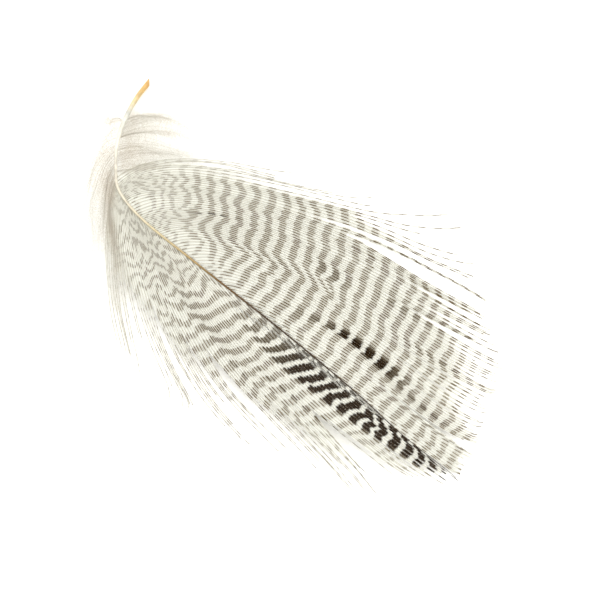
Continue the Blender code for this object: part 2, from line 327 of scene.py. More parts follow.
def blend_shares(t):
    """Shares of four knots in a row in a smooth line between the middle two."""
    return [
        (1 - t)**3 / 6,
        (3 * t**3 - 6 * t**2 + 4) / 6,
        (-3 * t**3 + 3 * t**2 + 3 * t + 1) / 6,
        t**3 / 6,
    ]


def drift(rng, first, second, first_size, second_size):
    """Smooth random numbers, mostly from -1 to 1, that change over two lengths in two readings."""
    u = (first - first.min()) / first_size + rng.uniform(0, 1)
    v = (second - second.min()) / second_size + rng.uniform(0, 1)
    u, v = np.broadcast_arrays(u, v)
    knots = rng.uniform(-2, 2, (int(u.max()) + 4, int(v.max()) + 4))
    i, j = u.astype(int), v.astype(int)
    total = np.zeros(u.shape)
    for step_u, share_u in enumerate(blend_shares(u - i)):
        for step_v, share_v in enumerate(blend_shares(v - j)):
            total += share_u * share_v * knots[i + step_u, j + step_v]
    return total


def across_barbs(paths):
    """Which way is square across each barb at each point, and how far the next barb is that way."""
    heading = np.gradient(paths, axis=1)
    heading /= np.maximum(np.linalg.norm(heading, axis=2), 1e-9)[..., None]
    aside = np.stack([-heading[..., 1], heading[..., 0]], -1)
    return aside, np.abs((aside[:-1] * np.diff(paths, axis=0)).sum(2))


def lengths_along(paths):
    """How far from its barb's root each point lies."""
    steps = np.linalg.norm(np.diff(paths, axis=1), axis=2)
    return np.concatenate([np.zeros((len(paths), 1)), np.cumsum(steps, 1)], 1)


def growth_depths(paths):
    """How deep in the order that the feather grew each point lies: points of equal depth lie
    square across the barbs from one to the next."""
    along = lengths_along(paths)
    starts = np.zeros(len(paths))
    for i in range(1, len(paths)):
        seen, last = paths[i, LOOKED_AT], paths[i - 1]
        nearest = np.linalg.norm(seen[:, None] - last[None], axis=2).argmin(1)
        ahead = np.gradient(last, axis=0)[nearest]
        ahead /= np.linalg.norm(ahead, axis=1)[:, None]
        beyond = ((seen - last[nearest]) * ahead).sum(1)
        starts[i] = starts[i - 1] + np.median(along[i - 1, nearest] + beyond - along[i, LOOKED_AT])
    return along + starts[:, None]


def read_grid(grid, across, along):
    """Reads an evenly spaced grid of numbers at shares of its two sizes."""
    u = np.clip(across, 0, 1) * (grid.shape[0] - 1)
    v = np.clip(along, 0, 1) * (grid.shape[1] - 1)
    i = np.minimum(u.astype(int), grid.shape[0] - 2)
    j = np.minimum(v.astype(int), grid.shape[1] - 2)
    u, v = u - i, v - j
    near = (1 - v) * grid[i, j] + v * grid[i, j + 1]
    far = (1 - v) * grid[i + 1, j] + v * grid[i + 1, j + 1]
    return (1 - u) * near + u * far


def laid_barbs(shapes, number, unevenness, splits, rng):
    """The barbs of one vane: how many real barbs stand before each point, its growth depth, t, the
    share of each barb that is webbed, and the points."""
    t = np.linspace(0, 1, BARB_STEPS + 1)
    last = len(shapes) - 1
    table = np.linspace(0, last, TABLE_STEPS + 1)
    grid = barb_paths(shapes, table[:, None] + 0 * t, 0 * table[:, None] + t)
    depths = growth_depths(grid)
    stand_before = np.interp(table, np.arange(last + 1), [row[7] for row in shapes])
    real = np.diff(stand_before)[:, None]
    room = real * np.minimum(across_barbs(grid)[1] / real, WIDEST) ** EVENNESS
    passed = np.concatenate([np.zeros((1, len(t))), np.cumsum(room, 0)])
    shares = (np.arange(number) + 0.5) / number
    read_at = np.maximum(np.arange(len(t)), ROOT_STEPS)
    laid = np.stack([np.interp(shares * passed[-1, k], passed[:, k], table) for k in read_at], 1)
    webbed = np.interp(laid[:, BARB_STEPS // 2], np.arange(last + 1), [row[8] for row in shapes])
    uneven = np.interp(laid[:, -1], *np.array(unevenness).T)
    length = FULL_LENGTH - uneven * rng.uniform(0, 1, number) ** 2
    ts = t[None, :] * length[:, None]
    laid = np.stack([np.interp(ts[i], t, laid[i]) for i in range(number)])
    slip = np.zeros((number, BARB_STEPS + 1))
    first = 0
    while first < number:
        size = int(rng.integers(*BUNDLE))
        group = slice(first, first + size)
        aside = laid[group].mean(0) - laid[group]
        pull = rng.uniform(0.0, BUNDLE_PULL)
        opens = webbed[group].mean() - BUNDLE_START
        slip[group] += pull * aside * ease(opens, 1.0, ts[group])
        first += size
    for where, opens, opened, width, reach in splits:
        aside = laid[:, -1:] - where
        slip += np.sign(aside) * width * np.exp(-(aside / reach) ** 2) * ease(opens, opened, ts)
    gap = np.gradient(laid, axis=0)
    stray = rng.uniform(-STRAY, STRAY, (number, 1))
    slip += stray * gap * ease(webbed[:, None] - STRAY_START, 1.0, ts)
    slip += gap * WAVER * drift(rng, np.arange(number)[:, None], ts, 1.5, 0.2) * ease(0.1, 0.9, ts)
    paths = barb_paths(shapes, np.clip(laid + slip, 0, last), ts)
    order = np.interp(laid, table, stand_before)
    return order, read_grid(depths, laid / last, ts), ts, webbed, paths


def bars_laid(depth, spacing, middle):
    """How many bars were laid down by each depth, counted from a bar's middle at a known depth."""
    passed = np.cumsum(1 / np.interp(COUNTED, *np.array(spacing).T)) * (COUNTED[1] - COUNTED[0])
    return np.interp(depth, COUNTED, passed) - np.interp(middle, COUNTED, passed)


def barb_rods(name, paths, aside, height, width, readings):
    """Barbs as rods of three sides, a flat one below and a ridge on top."""
    count, steps = paths.shape[:2]
    left = paths + aside * (width / 2)[..., None]
    right = paths - aside * (width / 2)[..., None]
    corners = np.stack([
        placed(left[..., 0], left[..., 1], height - width * BELLY),
        placed(right[..., 0], right[..., 1], height - width * BELLY),
        placed(paths[..., 0], paths[..., 1], height + width * RIDGE),
    ], 2)
    start = (np.arange(count)[:, None] * steps + np.arange(steps - 1)[None, :]).ravel() * 3
    faces = [
        np.stack([start + a, start + b, start + 3 + b, start + 3 + a], -1)
        for a, b in ((0, 1), (1, 2), (2, 0))
    ]
    values = {reading: np.repeat(numbers, 3) for reading, numbers in readings.items()}
    piece = piece_of(name, corners, np.concatenate(faces), values)
    piece.data.shade_smooth()
    return piece


# Real barbules stand about 0.03 mm apart, too fine to show. These are drawn between two and three
# times as far apart, as wider blades that cover as much.
BARBULE_PITCH = 0.080
UNEVEN_PITCH = 0.15  # share of that by which a barbule may stand off its place
BARE_ROOT = 0.1  # of a barb, before its first barbule
BARE_TIP = 0.12  # and beyond its last
BARBULE_LEAN = 0.09  # how far forward a barbule's tip is, so that it slopes towards the barb's tip
BARBULE_DROP = 0.022  # below the middle of the barb that they grow on
BARBULE_TILT = 0.015  # that the hooked row's tips lie above its roots, and the plain row's below
BARBULE_ROOT = 0.084  # width where it grows from the barb
BARBULE_END = 0.074  # and at its tip
WEB_OVERLAP = 0.60  # share of the way to the next barb that a barbule reaches
LONGEST_BARBULE = 0.19
FOLDED_BARBULE = 0.045  # on a free tip, where barbules lie close to the barb
UNEVEN_REACH = (0.85, 1.12)  # least and most of its length that a barbule has
ROOT_PIGMENT = 0.36  # share of a barb's pigment that its barbules have at their roots
END_PIGMENT = 0.08  # and at their tips
DARK_PIGMENT = 0.90  # how much more of it they have where the bars are darkest
LOOSE_PIGMENT = 0.35  # and where they hold to no other barb


def barbules(name, side, paths, aside, height, spacing, web, readings, rng):
    """One row of barbules on each barb, as flat blades that slope forwards on one side of it."""
    points, values = [], {reading: [] for reading in readings}
    along = lengths_along(paths)
    for i in range(len(paths)):
        starts = np.arange(BARE_ROOT, along[i, -1] - BARE_TIP, BARBULE_PITCH)
        starts = starts + rng.uniform(-UNEVEN_PITCH, UNEVEN_PITCH, len(starts)) * BARBULE_PITCH

        def read(numbers, at):
            return np.interp(at, along[i], numbers)

        closed = read(web[i], starts)
        longest = np.minimum(read(spacing[i], starts) * WEB_OVERLAP, LONGEST_BARBULE)
        reach = longest * closed + FOLDED_BARBULE * (1 - closed)
        reach = reach * rng.uniform(*UNEVEN_REACH, len(starts))
        tip = BARBULE_ROOT / 2 + BARBULE_LEAN - BARBULE_END / 2
        corners = []
        for forward, out in ((0, 0), (BARBULE_ROOT, 0), (tip + BARBULE_END, 1), (tip, 1)):
            at = starts + forward
            x = read(paths[i, :, 0], at) + read(aside[i, :, 0], at) * reach * out * side
            y = read(paths[i, :, 1], at) + read(aside[i, :, 1], at) * reach * out * side
            z = read(height[i], starts) - BARBULE_DROP + BARBULE_TILT * side * out
            corners.append(placed(x, y, z))
        points.append(np.stack(corners if side < 0 else corners[::-1], 1))
        for reading, numbers in readings.items():
            values[reading].append(np.repeat(read(numbers[i], starts + BARBULE_ROOT / 2), 4))
        strength = values["strength"][-1].reshape(-1, 4)
        extra = DARK_PIGMENT * values["darkness"][-1].reshape(-1, 4)
        extra = extra + LOOSE_PIGMENT * (1 - closed)[:, None]
        strength[:, :2] *= np.minimum(ROOT_PIGMENT + extra[:, :2], 1)
        strength[:, 2:] *= np.minimum(END_PIGMENT + extra[:, 2:], 1)
    points = np.concatenate(points)
    faces = np.arange(len(points) * 4).reshape(-1, 4)
    return piece_of(name, points, faces, {reading: np.concatenate(v) for reading, v in values.items()})


BARB_HEIGHT = 0.10  # of a barb's middle above the feather's underside
LAYERING = 0.03  # farthest above or below its place that a barb lies
BARB_FILL = 0.46  # share of the gap to the next barb that a barb's width takes
THINNEST_BARB = 0.025
THICKEST_BARB = 0.105  # at its root
BARB_TAPER = 0.020  # off the thickest at the tip
FREE_THINNING = 0.15  # share of its width that a barb loses past its web
DARK_SWELL = 0.2  # and that it gains where it is darkest, as its barbules are dark too
WEB_WHOLE = 0.36  # widest gap that the web closes in full
WEB_OPEN = 0.6  # gap from which it has parted
WEB_ENDS_IN = 0.15  # share of a barb's length in which its web gives out
BAR_SWAY = 0.15  # how far bars bend over a few barbs, in bars
BAR_JITTER = 0.10  # and how far apart they lie on neighbouring barbs
SPECKLE_SWAY = 0.55  # how much more both are where the bars break into blotches
SPECKLE_JITTER = 0.14
BAR_CUT = 0.07  # where a bar's wave, from -1 to 1, is cut: above 0, bars are thinner than gaps
SPECKLE_CUT = 0.30  # how much higher where they are speckled
FREE_CUT = 0.10  # and on free tips
DARK_CUT = 0.5  # how much lower where they are darkest
SPECKLE_FADE = 0.15  # share of its pigment that a barb lacks where it is speckled
WEB_SPECKLE_FADE = 0.2  # and that its barbules lack


def grow_vane(name, shapes, made, marks, unevenness, splits, spacing, middle, rng):
    """Builds one vane: its barbs and both rows of barbules, with what the bars are drawn from."""
    order, depth, ts, webbed, paths = laid_barbs(shapes, made, unevenness, splits, rng)
    number = np.arange(made)[:, None]
    aside, gaps = across_barbs(paths)
    gaps = (np.concatenate([gaps[:1], gaps]) + np.concatenate([gaps, gaps[-1:]])) / 2
    along = lengths_along(paths)
    lag, speckle, strength, darkness = marks(order, depth, along)
    bars = bars_laid(depth - lag, spacing, middle)
    bars = bars + BAR_SWAY * drift(rng, number, depth, 3.0, 4.0)
    bars = bars + (BAR_JITTER + SPECKLE_JITTER * speckle) * drift(rng, number, depth, 0.8, 2.0)
    bars = bars + SPECKLE_SWAY * speckle * drift(rng, number, depth, 2.2, 1.6)
    free = ease(0, WEB_ENDS_IN, ts - webbed[:, None])
    web = (1 - free) * (1 - ease(WEB_WHOLE, WEB_OPEN, gaps))
    readings = {
        "bars": bars,
        "cut": BAR_CUT + SPECKLE_CUT * speckle + FREE_CUT * free - DARK_CUT * darkness,
        "strength": strength * (1 - SPECKLE_FADE * speckle),
        "darkness": darkness,
        "brown": drift(rng, number, along, 2.0, 1.6),
    }
    web_readings = {**readings, "strength": strength * (1 - WEB_SPECKLE_FADE * speckle)}
    layer = rng.uniform(-LAYERING, LAYERING, made)[:, None]
    height = back(paths[..., 0], paths[..., 1]) + BARB_HEIGHT + layer
    width = np.clip(BARB_FILL * gaps, THINNEST_BARB, THICKEST_BARB - BARB_TAPER * ts)
    width = width * (1 - FREE_THINNING * free) * (1 + DARK_SWELL * darkness)
    rods = barb_rods(f"{name}_barbs", paths, aside, height, width, readings)
    rows = [
        barbules(f"{name}_{kind}_barbules", side, paths, aside, height, gaps, web, web_readings, rng)
        for kind, side in (("hooked", 1), ("plain", -1))
    ]
    return rods, rows


def rows_at(row, depth, looked_at):
    """Which row each barb follows where it passes a depth."""
    nearest = np.abs(depth - looked_at).argmin(1)
    return np.take_along_axis(row, nearest[:, None], 1)


RAGGEDNESS = 0.4  # millimetres over which the edge of a bar wavers
RAGGED_BY = 0.2  # how far in or out it goes in all, in bars
BAR_EDGE = 0.45  # how soft that edge is, on the same scale as the cut


def barred_keratin(name, pale, grey, brown, black, see_through):
    """Keratin with pigment in bars, drawn from the readings that each point of a barb carries."""
    material, tree = new_material(name)
    reading = {
        key: node(tree, "ShaderNodeAttribute", {"attribute_name": key}, {}).outputs["Fac"]
        for key in ("bars", "cut", "strength", "darkness", "brown")
    }
    place = node(tree, "ShaderNodeTexCoord", {}, {})
    ragged = node(tree, "ShaderNodeTexNoise", {}, {
        "Vector": place.outputs["Object"], "Scale": 1000 / RAGGEDNESS, "Detail": 2.0,
    })
    shaken = node(tree, "ShaderNodeMath", {"operation": "MULTIPLY_ADD"}, {
        0: ragged.outputs["Fac"], 1: RAGGED_BY, 2: reading["bars"],
    })
    level = node(tree, "ShaderNodeMath", {"operation": "SUBTRACT"}, {
        0: shaken.outputs[0], 1: RAGGED_BY / 2,
    })
    turns = node(tree, "ShaderNodeMath", {"operation": "MULTIPLY"}, {0: level.outputs[0], 1: 2 * math.pi})
    wave = node(tree, "ShaderNodeMath", {"operation": "COSINE"}, {0: turns.outputs[0]})
    above = node(tree, "ShaderNodeMath", {"operation": "SUBTRACT"}, {0: wave.outputs[0], 1: reading["cut"]})
    bar = node(tree, "ShaderNodeMapRange", {"interpolation_type": "SMOOTHSTEP"}, {
        "Value": above.outputs[0], "From Min": -BAR_EDGE, "From Max": BAR_EDGE,
    })
    share = node(tree, "ShaderNodeMath", {"operation": "MULTIPLY"}, {
        0: bar.outputs["Result"], 1: reading["strength"],
    })
    warmth = node(tree, "ShaderNodeMapRange", {}, {
        "Value": reading["brown"], "From Min": 0.1, "From Max": 1.1,
    })
    tint = node(tree, "ShaderNodeMix", {"data_type": "RGBA"}, {"Factor": warmth.outputs["Result"]})
    tint.inputs["A"].default_value = linear(grey)
    tint.inputs["B"].default_value = linear(brown)
    dark = node(tree, "ShaderNodeMix", {"data_type": "RGBA"}, {"Factor": reading["darkness"]})
    tree.links.new(tint.outputs["Result"], dark.inputs["A"])
    dark.inputs["B"].default_value = linear(black)
    colour = node(tree, "ShaderNodeMix", {"data_type": "RGBA"}, {"Factor": share.outputs[0]})
    colour.inputs["A"].default_value = linear(pale)
    tree.links.new(dark.outputs["Result"], colour.inputs["B"])
    surface = node(tree, "ShaderNodeBsdfPrincipled", {}, {
        "Base Color": colour.outputs["Result"], "Roughness": 0.6, "IOR": 1.54, "Specular IOR Level": 0.02,
    })
    through = node(tree, "ShaderNodeBsdfTranslucent", {}, {"Color": colour.outputs["Result"]})
    both = node(tree, "ShaderNodeMixShader", {}, {
        0: see_through, 1: surface.outputs["BSDF"], 2: through.outputs["BSDF"],
    })
    node(tree, "ShaderNodeOutputMaterial", {}, {"Surface": both.outputs["Shader"]})
    return material


# Keratin of the barbs: matt solid rods, a warm off-white that hardly lets light through, with
# pigment packed so densely that the bars look deep brown in them.
barb_keratin = barred_keratin(
    "barred_keratin_of_barbs", "#d0ccbe", "#69542d", "#5a3d15", "#1a0f02", 0.1,
)
# Keratin of the barbules: matt plates so thin that light comes through. They look whiter, and
# their pigment fainter, so the web turns a barb's brown bars into soft grey ones.
web_keratin = barred_keratin(
    "thin_keratin_of_barbules", "#e7e7de", "#766232", "#6b4f1e", "#2f1d04", 0.25,
)


LEAST_DARK = 0.08  # everywhere, of the way from grey-brown pigment to black
# Deeper than the fork, each bar of the far barbs meets the near barbs' next one: it came a whole
# bar later.
UPPER_FORK = 29.5  # depth where the bars fork
UPPER_FORK_ROW = 57  # real barbs before the one that they fork at
UPPER_BAR = 1.78  # a bar and its gap, at the fork
UPPER_LAG = 2.55  # before the fork, how much later the bars came on the barbs past a step in them
# how dark, real barbs before its middle, half as many as it covers, its depth, half its length
UPPER_SPOTS = [
    (0.45, 47.5, 5.0, 27.8, 2.6), (0.40, 42.5, 2.0, 38.0, 4.5), (0.40, 55.0, 1.6, 43.5, 5.0),
    (0.35, 18.0, 1.6, 37.0, 5.0),
]


def spotted(dark, spots, row, depth):
    """Adds spots to how dark the bars are, from their table."""
    for most, middle_row, half_rows, middle_depth, half_depth in spots:
        spot = most * bump(row, middle_row, half_rows) * bump(depth, middle_depth, half_depth)
        dark = np.maximum(dark, spot)
    return np.maximum(dark, LEAST_DARK)


def upper_marks(row, depth, along):
    """How much later the bars came on each barb, where they are speckled, strong and dark, with a crease's
    shade painted in as dark bars.
    """
    lag_rows = [0, 10, 14, 27, 30, 38, 45, 49]
    lag = np.interp(row, lag_rows, [-1.8, -1.3, -0.8, -0.7, -0.4, -0.15, 0, 0.2])
    step_row = np.interp(depth, [16, 19, 22, 25], [75, 68, 62, 57])
    half = np.interp(np.abs(depth - UPPER_FORK), [0, 3], [0.6, 7])
    step = ease(step_row - half, step_row + half, row)
    beyond = rows_at(row, depth, UPPER_FORK) > UPPER_FORK_ROW
    forked = (UPPER_LAG - UPPER_BAR) * step + UPPER_BAR * beyond
    lag = lag + np.where(depth < UPPER_FORK, UPPER_LAG * step, forked)
    speckled_rows = [0, 15, 34, 46, 60, 72, 84, 95, 105]
    speckled = np.interp(row, speckled_rows, [10, 9, 8.5, 7.5, 6, 4.5, 3, 1.5, 1])
    speckle = 1 - ease(0.5, 1.1, along / speckled)
    strength = np.interp(row, [0, 7, 10, 28, 40], [0.5, 0.6, 0.95, 0.95, 1])
    strength = strength * np.interp(along, [0, 3, 8], [0.85, 0.95, 1])
    strength = strength * np.interp(depth, [8, 21], [0.72, 1])
    lane = np.interp(depth, [25, 27, 29, 31, 33, 36], [93, 90, 85, 79.5, 75.5, 73.5])
    most = np.interp(depth, [23, 27, 31, 32.5, 39, 41, 44], [0, 0.3, 0.65, 1, 1, 0.6, 0])
    dark = bump(row, lane, 5.5) * most
    far_lane = np.interp(depth, [41, 44.5, 48], [78, 80, 83])
    far_most = 0.6 * ease(40, 41.5, depth) * (1 - ease(47, 50, depth))
    dark = np.maximum(dark, far_most * bump(row, far_lane, 2.2))
    # Painted shade: a thin dark line along the crease in the vane, put into how dark the bars are.
    crease_shade_row = np.interp(depth, [11, 16], [51, 44.5])
    dark = np.maximum(dark, 0.9 * bump(row, crease_shade_row, 0.9) * bump(depth, 13.5, 3.2))
    return lag, speckle, strength, spotted(dark, UPPER_SPOTS, row, depth)


# place in the table of barbs, most of its length that a barb there lacks
UPPER_UNEVENNESS = [(0, 0.45), (2.0, 0.2), (3.3, 0.10), (11, 0.07)]
# place in the table, share of the barbs' length where the web splits and where the split is fully
# open, how far each side moves and how many barbs move with it, both in rows of the table
UPPER_SPLITS = [
    (1.05, 0.2, 0.5, 0.2, 0.5), (3.22, 0.55, 0.8, 0.22, 0.35), (8.6, 0.5, 0.85, 0.15, 0.5),
]
# depth, millimetres from bar to bar there
UPPER_SPACING = [
    (-10, 0.8), (2, 0.9), (5, 1.35), (10, 1.5), (15, 1.65), (20, 1.78), (36, 1.82), (39, 1.64),
]
UPPER_MIDDLE = 26.35  # depth of the middle of one bar, from which the others are counted

upper_rods, upper_rows = grow_vane(
    "upper_vane", UPPER_BARBS, UPPER_BARBS_MADE, upper_marks, UPPER_UNEVENNESS, UPPER_SPLITS,
    UPPER_SPACING, UPPER_MIDDLE, np.random.default_rng(11),
)
part_of_feather(upper_rods, barb_keratin)
for row in upper_rows:
    part_of_feather(row, web_keratin)

# Lower vane, the narrower one, of the same barbs and barbules, grown from the shaft's other side.
# Its barbs are softer and part sooner, so its edge is loose, and the bars beside the shaft turn
# nearly black towards the tip.

# Every table of this vane has the upper vane's columns.
LOWER_BARBS = [
    (1.4, -74, 3.8, 11.6, -12.6, -37, 5.5, 0, 0.25),
    (2.3, -74, 4.7, 15.3, -13.2, -36, 6.0, 7, 0.35),
    (3.1, -66, 4.8, 19.3, -13.8, -36, 6.6, 16, 0.42),
    (4.2, -52, 4.8, 31.3, -12.0, 2, 10.0, 29, 0.45),
    (4.8, -39, 9.0, 35.4, -9.8, -1, 13.0, 44, 0.55),
    (5.6, -33, 14.0, 42.8, -8.5, -10, 17.0, 58, 0.64),
    (6.5, -32, 14.5, 45.0, -7.3, -11, 15.0, 69, 0.68),
    (7.7, -30, 9.2, 48.7, -2.6, 17, 13.5, 83, 0.78),
    (9.9, -28, 9.1, 50.9, -1.3, 7, 12.5, 95, 0.84),
    (13.6, -19, 8.1, 51.6, -0.3, 2, 11.3, 105, 0.86),
    (22.1, -12, 5.6, 51.9, 0.0, 0, 8.7, 115, 0.88),
    (35.2, -7, 3.2, 52.1, 0.1, 3, 5.0, 123, 0.90),
]
LOWER_BARBS_MADE = 60
LOWER_FORK = 38  # depth where the bars fork
LOWER_FORK_ROW = 107  # real barbs before the one that they fork at
LOWER_BAR = 1.83  # a bar and its gap, at the fork
LOWER_SPOTS = [(0.5, 60.5, 1.8, 26.5, 3.2), (0.22, 70.0, 16.0, 20.0, 6.0)]
LOWER_UNEVENNESS = [(0, 0.4), (3.5, 0.3), (5.0, 0.12), (11, 0.06)]
LOWER_SPLITS = [(4.35, 0.5, 0.8, 0.16, 0.4), (6.6, 0.6, 0.9, 0.2, 0.4)]
LOWER_SPACING = [
    (-10, 1.1), (2, 1.2), (6, 1.5), (15, 1.65), (20, 1.78), (28, 1.83), (40, 1.83), (44, 1.72),
]
LOWER_MIDDLE = 30.93


def lower_marks(row, depth, along):
    """How much later the bars came on each barb, where they are speckled, strong and dark."""
    near_rows = [25, 30, 36, 57, 65, 75, 83, 92, 108]
    near = np.interp(row, near_rows, [-0.2, -0.6, -0.2, 0.4, 0.2, 0.9, 1.6, 2.1, 2.9])
    far_rows = [47, 57, 65, 83, 92, 97, 104, 117]
    far = np.interp(row, far_rows, [0, 0.35, 0.55, 0.6, 1.45, 1.5, 2.55, 3.6])
    end = np.interp(row, far_rows, [0, 0.35, 0.55, 0.6, 1.45, 1.5, 1.5, 0.9])
    forked = LOWER_BAR * (rows_at(row, depth, LOWER_FORK) > LOWER_FORK_ROW)
    near = near + (far - near) * np.clip((depth - 22) / 9, 0, 1) - forked
    lag = near + (end - near) * ease(LOWER_FORK, LOWER_FORK + 6, depth)
    speckled = np.interp(row, [0, 20, 40, 50, 62, 80, 95, 110], [24, 22, 20, 17, 13.5, 9.5, 5, 2])
    speckle = 1 - 0.9 * ease(0.4, 1.1, along / speckled)
    speckle = np.maximum(speckle, 0.9 * (1 - ease(14, 21, depth)))
    strength = np.interp(row, [0, 8, 16, 24, 45], [0.2, 0.35, 0.7, 0.9, 1])
    strength = strength * np.interp(along, [0, 3, 8], [0.75, 0.85, 1])
    fading = np.interp(row, [15, 20, 40, 46, 60, 82, 91, 94], [11, 12, 19, 30, 33, 36, 40, 60])
    sparse = ease(fading, fading + 4, depth)
    strength = strength * (1 - 0.3 * sparse)
    speckle = np.maximum(speckle, 0.75 * sparse)
    edge = np.interp(depth, [20, 24, 28, 32], [103, 99, 95.5, 94.2])
    most = np.interp(depth, [18, 23, 28, 31, 49, 53], [0, 0.35, 0.75, 1, 1, 0.8])
    dark = ease(edge - 1.5, edge + 1.5, row) * most
    spot_row = np.interp(depth, [34, 42, 48], [83, 85.5, 86.5])
    spots = bump(row, spot_row, 1.5) * np.interp(depth, [25, 30, 37, 42, 48], [0.2, 0.55, 0.6, 0.35, 0])
    dark = np.maximum(dark, spots)
    return lag, speckle, strength, spotted(dark, LOWER_SPOTS, row, depth)


lower_rods, lower_rows = grow_vane(
    "lower_vane", LOWER_BARBS, LOWER_BARBS_MADE, lower_marks, LOWER_UNEVENNESS, LOWER_SPLITS,
    LOWER_SPACING, LOWER_MIDDLE, np.random.default_rng(12),
)
part_of_feather(lower_rods, barb_keratin)
for row in lower_rows:
    part_of_feather(row, web_keratin)

# Down at the base. Its barbs are limp threads with long loose barbules that hook to nothing, so
# they lie in a soft haze round the bend of the shaft. It grew as the vanes did, of the same keratin.

# place on the shaft, leaving angle, reach, tip x, tip y, arriving angle, reach, thickness
DOWN_LOCKS = [
    (-5.4, 75, 1.6, 0.9, 10.8, 30, 1.4, 0.9),
    (-4.9, 70, 2.2, 2.0, 11.0, -5, 1.8, 1.0),
    (-4.2, 72, 2.6, 4.1, 11.0, -30, 2.4, 1.1),
    (-3.4, 70, 2.8, 5.9, 10.0, -40, 2.6, 1.1),
    (-2.6, 68, 2.6, 6.9, 8.6, -30, 2.4, 1.1),
    (-1.8, 66, 2.6, 5.7, 8.7, 15, 2.2, 1.0),
    (-0.9, 64, 2.2, 5.1, 7.6, 12, 2.0, 0.9),
    (-0.2, 66, 1.8, 5.0, 6.3, 20, 2.0, 0.8),
    (0.6, 70, 1.4, 4.2, 5.0, 30, 1.6, 0.6),
    (-5.2, 175, 1.4, -5.9, 6.0, 200, 1.4, 0.9),
    (-4.6, 185, 1.6, -4.3, 2.8, -110, 1.6, 1.0),
    (-4.0, 205, 1.8, -2.9, -0.3, -95, 2.0, 1.1),
    (-3.2, 225, 2.2, -1.0, -2.6, -80, 2.4, 1.1),
    (-2.5, 240, 3.0, 0.6, -8.3, -105, 3.2, 1.2),
    (-1.8, 250, 3.4, 3.7, -7.3, -70, 3.4, 1.2),
    (-1.1, 258, 3.6, 6.1, -9.9, -65, 3.6, 1.2),
    (-0.4, 265, 3.8, 8.6, -11.2, -72, 3.8, 1.1),
    (0.3, 272, 4.0, 10.6, -11.9, -62, 4.0, 1.0),
    (0.9, 278, 4.0, 12.2, -11.4, -52, 4.2, 0.9),
    (1.5, 284, 4.0, 12.6, -9.4, -48, 4.0, 0.8),
]
# the locks of one fan, how full each is, barbs in all, how far their ends scatter
UPPER_FAN = (DOWN_LOCKS[:9], [1.0, 1.2, 1.3, 1.2, 1.0, 0.9, 0.9, 0.9, 0.8], 92, 0.5)
LOWER_FAN = (DOWN_LOCKS[9:], [0.5, 0.5, 0.6, 0.6, 0.7, 0.7, 0.8, 0.9, 1.0, 1.1, 0.9], 68, 1.0)
DOWN_STEPS = 40
DOWN_BARB = 0.022  # width at its root
DOWN_BARB_END = 0.010
DOWN_LENGTH = 1.04  # of the longest barbs, as a share of their lock's
DOWN_SHORTER = 0.6  # most of that length that a barb lacks
TUFT = 0.30  # how far barbs spread about their lock, in locks
TUFT_SWAY = 0.5  # how far tufts of them sway together, in locks
BARB_SWAY = 0.3  # and how far each sways from the rest
BARB_WAVER = 0.35  # millimetres to either side that its line wavers
DOWN_LIFT = 0.12  # of the lowest of it above the feather's underside
DOWN_LOWEST = 0.05  # above what the feather lies on
FIRST_THREAD = 0.3  # from a barb's root
THREAD_PITCH = 0.22
THREAD_WIDTH = 0.013  # real ones are less than half of this, too fine to show
THREAD_LEAN = (10, 95)  # degrees from the barb that a thread ends up at, least and most
THREAD_REACH = (0.5, 1.5)  # shortest and longest
TIP_THREADS = 0.35  # share of their length that threads at a barb's tip lack
THREAD_BEND = 0.55  # share of a thread's length at which it bends
THREAD_RISE = 0.2  # how far above or below its root a thread's tip lies
THREAD_LOWEST = 0.03  # above what the feather lies on
down_rng = np.random.default_rng(5)


def down_fan(locks, shares, number, scatter):
    """Limp threads spread through a fan of locks in tufts, with wavering paths."""
    shares = np.array(shares) / sum(shares)
    lock = np.sort(down_rng.choice(len(locks), number, p=shares))
    places = np.sort(np.clip(lock + down_rng.normal(0, TUFT, number), 0, len(locks) - 1))
    order = np.arange(number)[:, None]
    t = np.linspace(0, 1, DOWN_STEPS + 1)
    length = DOWN_LENGTH - DOWN_SHORTER * down_rng.uniform(0, 1, number) ** 1.5
    ts = t[None, :] * length[:, None]
    wander = TUFT_SWAY * drift(down_rng, order, ts, 5.0, 0.3) * ts
    wander = wander + BARB_SWAY * drift(down_rng, order, ts, 1.0, 0.25) * ts
    at = np.clip(places[:, None] + wander, 0, len(locks) - 1)
    paths = barb_paths(locks, at, ts)
    for axis in (0, 1):
        paths[..., axis] += scatter * drift(down_rng, order, ts, 4.0, 0.22) * ts
        paths[..., axis] += BARB_WAVER * drift(down_rng, order, ts, 0.7, 0.12) * ts
    thickness = np.interp(at, np.arange(len(locks)), [row[7] for row in locks])
    layer = down_rng.uniform(0.1, 1.0, number)[:, None]
    swell = np.sin(np.pi * (0.15 + 0.85 * np.clip(ts, 0, 1)))
    height = back(paths[..., 0], paths[..., 1]) + DOWN_LIFT + layer * thickness * swell * 0.5
    return paths, np.maximum(height, DOWN_LOWEST)


